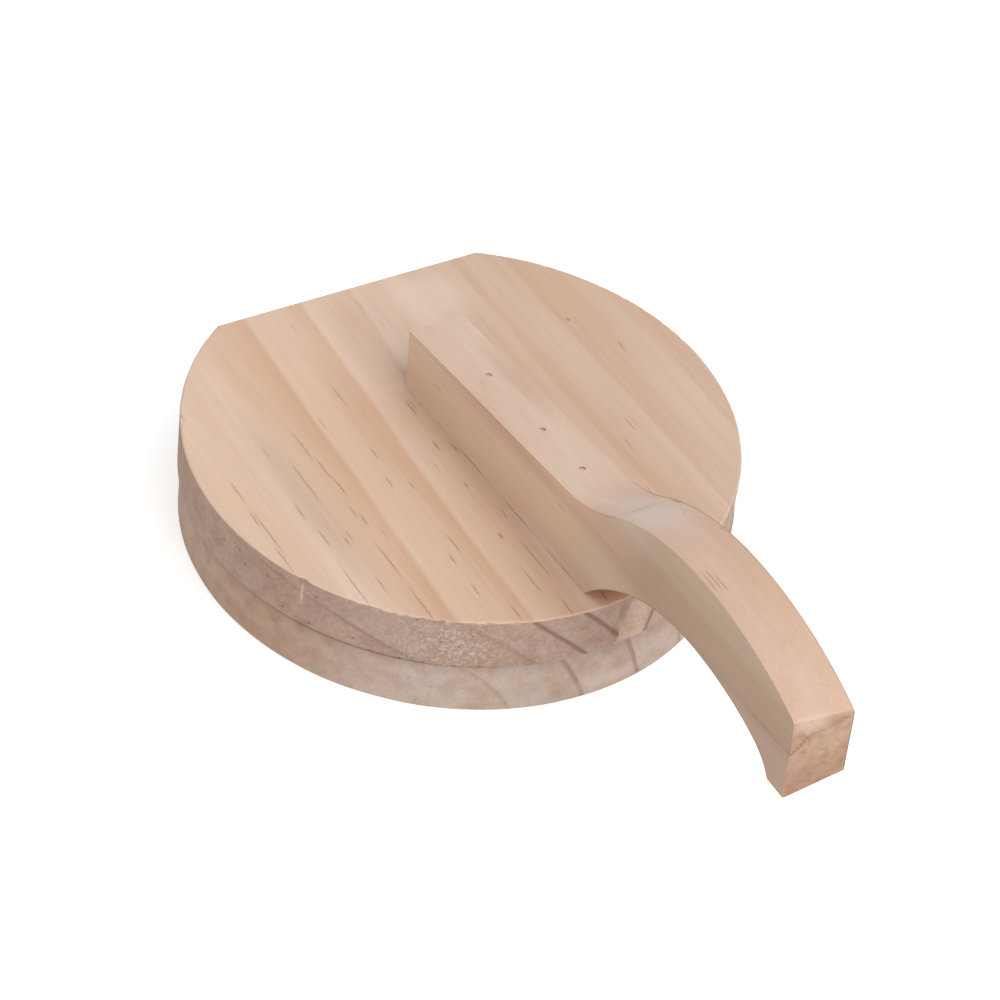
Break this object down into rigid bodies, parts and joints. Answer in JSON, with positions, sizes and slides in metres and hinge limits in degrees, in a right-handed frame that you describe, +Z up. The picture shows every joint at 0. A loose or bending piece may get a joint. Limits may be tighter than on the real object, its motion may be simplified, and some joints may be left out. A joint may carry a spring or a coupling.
{
  "type": "dumpling wrapper press",
  "caption": "Hinged wooden press: two thick round pine boards with one straight hinge edge, and an arched handle on the top board to press dough flat between them.",
  "frame": {"origin": "centre of the round boards, on the face that the press stands on", "axes": "+Z up, +Y towards the straight hinge edge, -Y out along the grip"},
  "size_m": [0.1753, 0.2603, 0.0848],
  "materials": {
    "pine_lower": "planed, unfinished pine",
    "pine_upper": "planed, unfinished pine",
    "pine_handle": "sawn and sanded, unfinished pine",
    "nail_steel": "dull, darkened",
    "hinge_steel": "zinc plated",
    "pin_steel": "bright drawn",
    "screw_steel": "zinc plated"
  },
  "bodies": {
    "base": {"lower_board": "pine_lower", "hinge_leaf_lower": "hinge_steel", "hinge_pin": "pin_steel", "hinge_screw_lower_1": "screw_steel", "hinge_screw_lower_2": "screw_steel", "hinge_screw_lower_3": "screw_steel"},
    "lid": {"upper_board": "pine_upper", "handle": "pine_handle", "handle_nail_1": "nail_steel", "handle_nail_2": "nail_steel", "handle_nail_3": "nail_steel", "hinge_leaf_upper": "hinge_steel", "hinge_screw_upper_1": "screw_steel", "hinge_screw_upper_2": "screw_steel", "hinge_screw_upper_3": "screw_steel"}
  },
  "joints": [
    {"name": "press_hinge", "type": "hinge", "parent": "base", "child": "lid", "pos_m": [0, 0.07655, 0.0181], "axis": [-1, 0, 0], "range_deg": [0, 158]}
  ]
}
